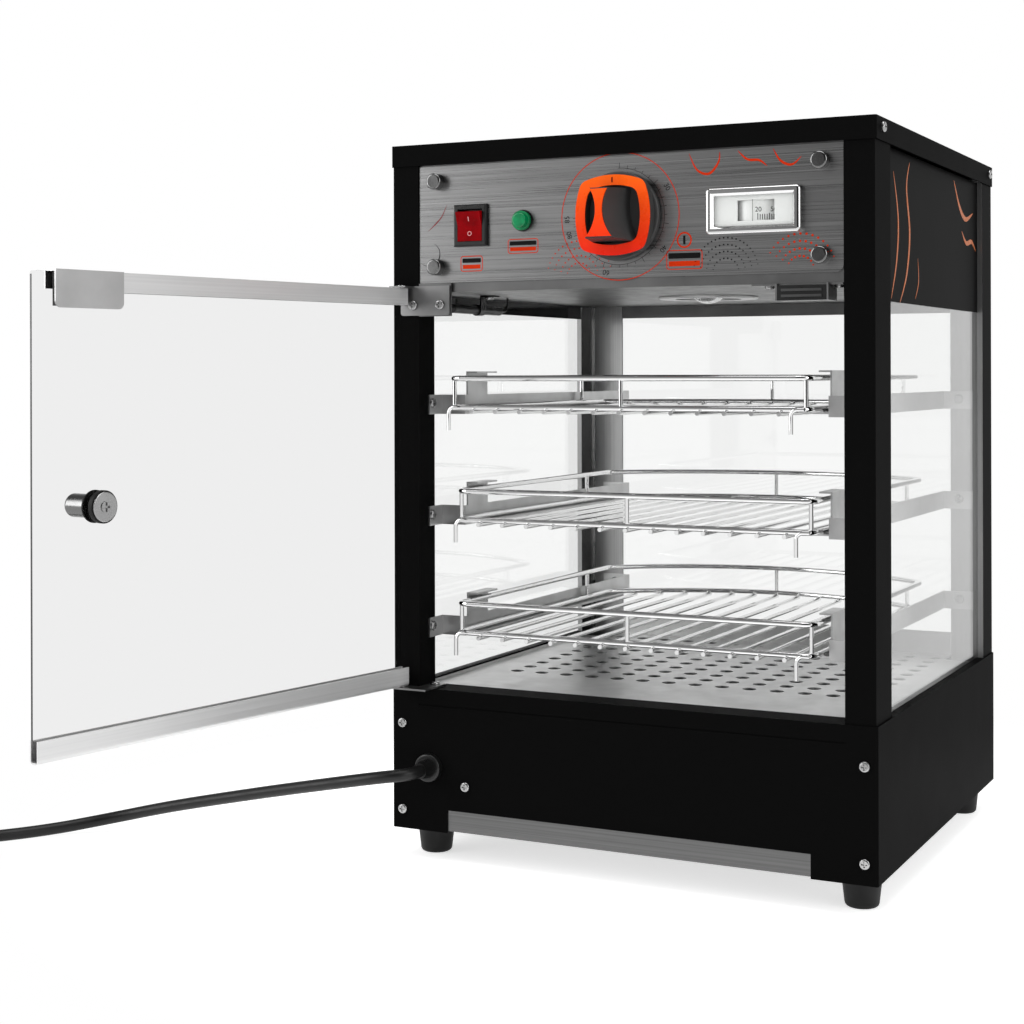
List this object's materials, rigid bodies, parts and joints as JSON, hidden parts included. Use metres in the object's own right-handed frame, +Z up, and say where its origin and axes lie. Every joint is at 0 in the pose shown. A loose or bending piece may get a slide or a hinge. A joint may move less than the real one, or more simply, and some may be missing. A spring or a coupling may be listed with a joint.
{
  "type": "pizza warmer",
  "caption": "Countertop heated display cabinet with a frameless glass door, sliding wire racks, a control panel under its cap and a heated perforated floor.",
  "frame": {"origin": "on the surface that the feet stand on, below the middle of the cabinet's footprint", "axes": "+Z up, +X to the right as the user faces the door, -Y towards the user, with the door open at rest"},
  "size_m": [0.76, 0.6669, 0.508],
  "materials": {
    "black_sheet": "satin black powder coat",
    "panel_steel": "horizontally brushed",
    "plain_steel": "mill finish",
    "galvanised": "galvanised",
    "screw_steel": "bright zinc",
    "stud_metal": "dark polished",
    "wire_chrome": "bright chrome",
    "glass_clear": "clear",
    "channel_alu": "satin anodised",
    "black_plastic": "semi gloss",
    "rocker_red": "gloss, see-through red",
    "lens_green": "gloss",
    "knob_orange": "gloss",
    "case_silver": "metallised silver",
    "dial_white": "matt white",
    "pane_clear": "clear plastic",
    "copper": "drawn copper",
    "ceramic": "unglazed",
    "bulb_glass": "frosted",
    "element_steel": "heat-darkened sheath",
    "rubber_black": "matt",
    "cord_black": "satin"
  },
  "bodies": {
    "cabinet": {"top_cap": "black_sheet", "case_screws": "screw_steel", "post_front_left": "black_sheet", "post_front_right": "black_sheet", "post_rear_left": "black_sheet", "post_rear_right": "black_sheet", "base_shell": "black_sheet", "bottom_plate": "galvanised", "floor_plate": "plain_steel", "side_glass_left": "glass_clear", "side_glass_right": "glass_clear", "rear_glass": "glass_clear", "rear_cover": "black_sheet", "ceiling_plate": "plain_steel", "upper_frame": "plain_steel", "control_panel": "panel_steel", "panel_screws": "stud_metal", "switch_body": "black_plastic", "pilot_body": "black_plastic", "pilot_lens": "lens_green", "thermostat_body": "plain_steel", "thermometer_case": "case_silver", "thermometer_window": "pane_clear", "sensor_bulb": "copper", "sensor_clip": "plain_steel", "lamp_ring": "plain_steel", "lamp_holder": "ceramic", "lamp_bulb": "bulb_glass", "catch_bracket": "plain_steel", "catch_body": "black_plastic", "catch_poles": "screw_steel", "rack_rails_left": "plain_steel", "rack_rails_right": "plain_steel", "bracket_screws": "screw_steel", "hinge_plates": "plain_steel", "feet": "rubber_black", "foot_screws": "screw_steel", "heating_element": "element_steel", "element_brackets": "galvanised", "terminal_block": "ceramic", "cord_gland": "black_plastic", "mains_cord": "cord_black", "cord_coil": "cord_black", "plug": "cord_black"},
    "door": {"door_glass": "glass_clear", "door_top_channel": "channel_alu", "door_bottom_channel": "channel_alu", "strike_plate": "plain_steel", "door_knob": "stud_metal", "door_knob_screw": "screw_steel", "door_pads": "rubber_black", "hinge_pins": "screw_steel"},
    "upper_rack": {"rack_upper": "wire_chrome"},
    "middle_rack": {"rack_middle": "wire_chrome"},
    "lower_rack": {"rack_lower": "wire_chrome"},
    "rocker": {"switch_rocker": "rocker_red"},
    "thermostat_knob": {"knob_body": "black_plastic", "knob_face": "knob_orange", "thermostat_shaft": "screw_steel"},
    "drum": {"thermometer_drum": "dial_white"}
  },
  "joints": [
    {"name": "door_hinge", "type": "hinge", "parent": "cabinet", "child": "door", "pos_m": [-0.165, -0.178, 0.264], "axis": [0, 0, -1], "range_deg": [-100.3, 0]},
    {"name": "upper_rack_slide", "type": "slide", "parent": "cabinet", "child": "upper_rack", "axis": [0, -1, 0], "range_m": [-0.01, 0.158]},
    {"name": "middle_rack_slide", "type": "slide", "parent": "cabinet", "child": "middle_rack", "axis": [0, -1, 0], "range_m": [0, 0.168]},
    {"name": "lower_rack_slide", "type": "slide", "parent": "cabinet", "child": "lower_rack", "axis": [0, -1, 0], "range_m": [0, 0.168]},
    {"name": "rocker_tilt", "type": "hinge", "parent": "cabinet", "child": "rocker", "pos_m": [-0.1128, -0.1691, 0.4492], "axis": [-1, 0, 0], "range_deg": [0, 20]},
    {"name": "thermostat_turn", "type": "hinge", "parent": "cabinet", "child": "thermostat_knob", "pos_m": [0, -0.19, 0.451], "axis": [0, 1, 0], "range_deg": [0, 270]},
    {"name": "thermometer_turn", "type": "hinge", "parent": "cabinet", "child": "drum", "pos_m": [0.0955, -0.1457, 0.451], "axis": [0, 0, -1], "range_deg": [-15, 76]}
  ]
}
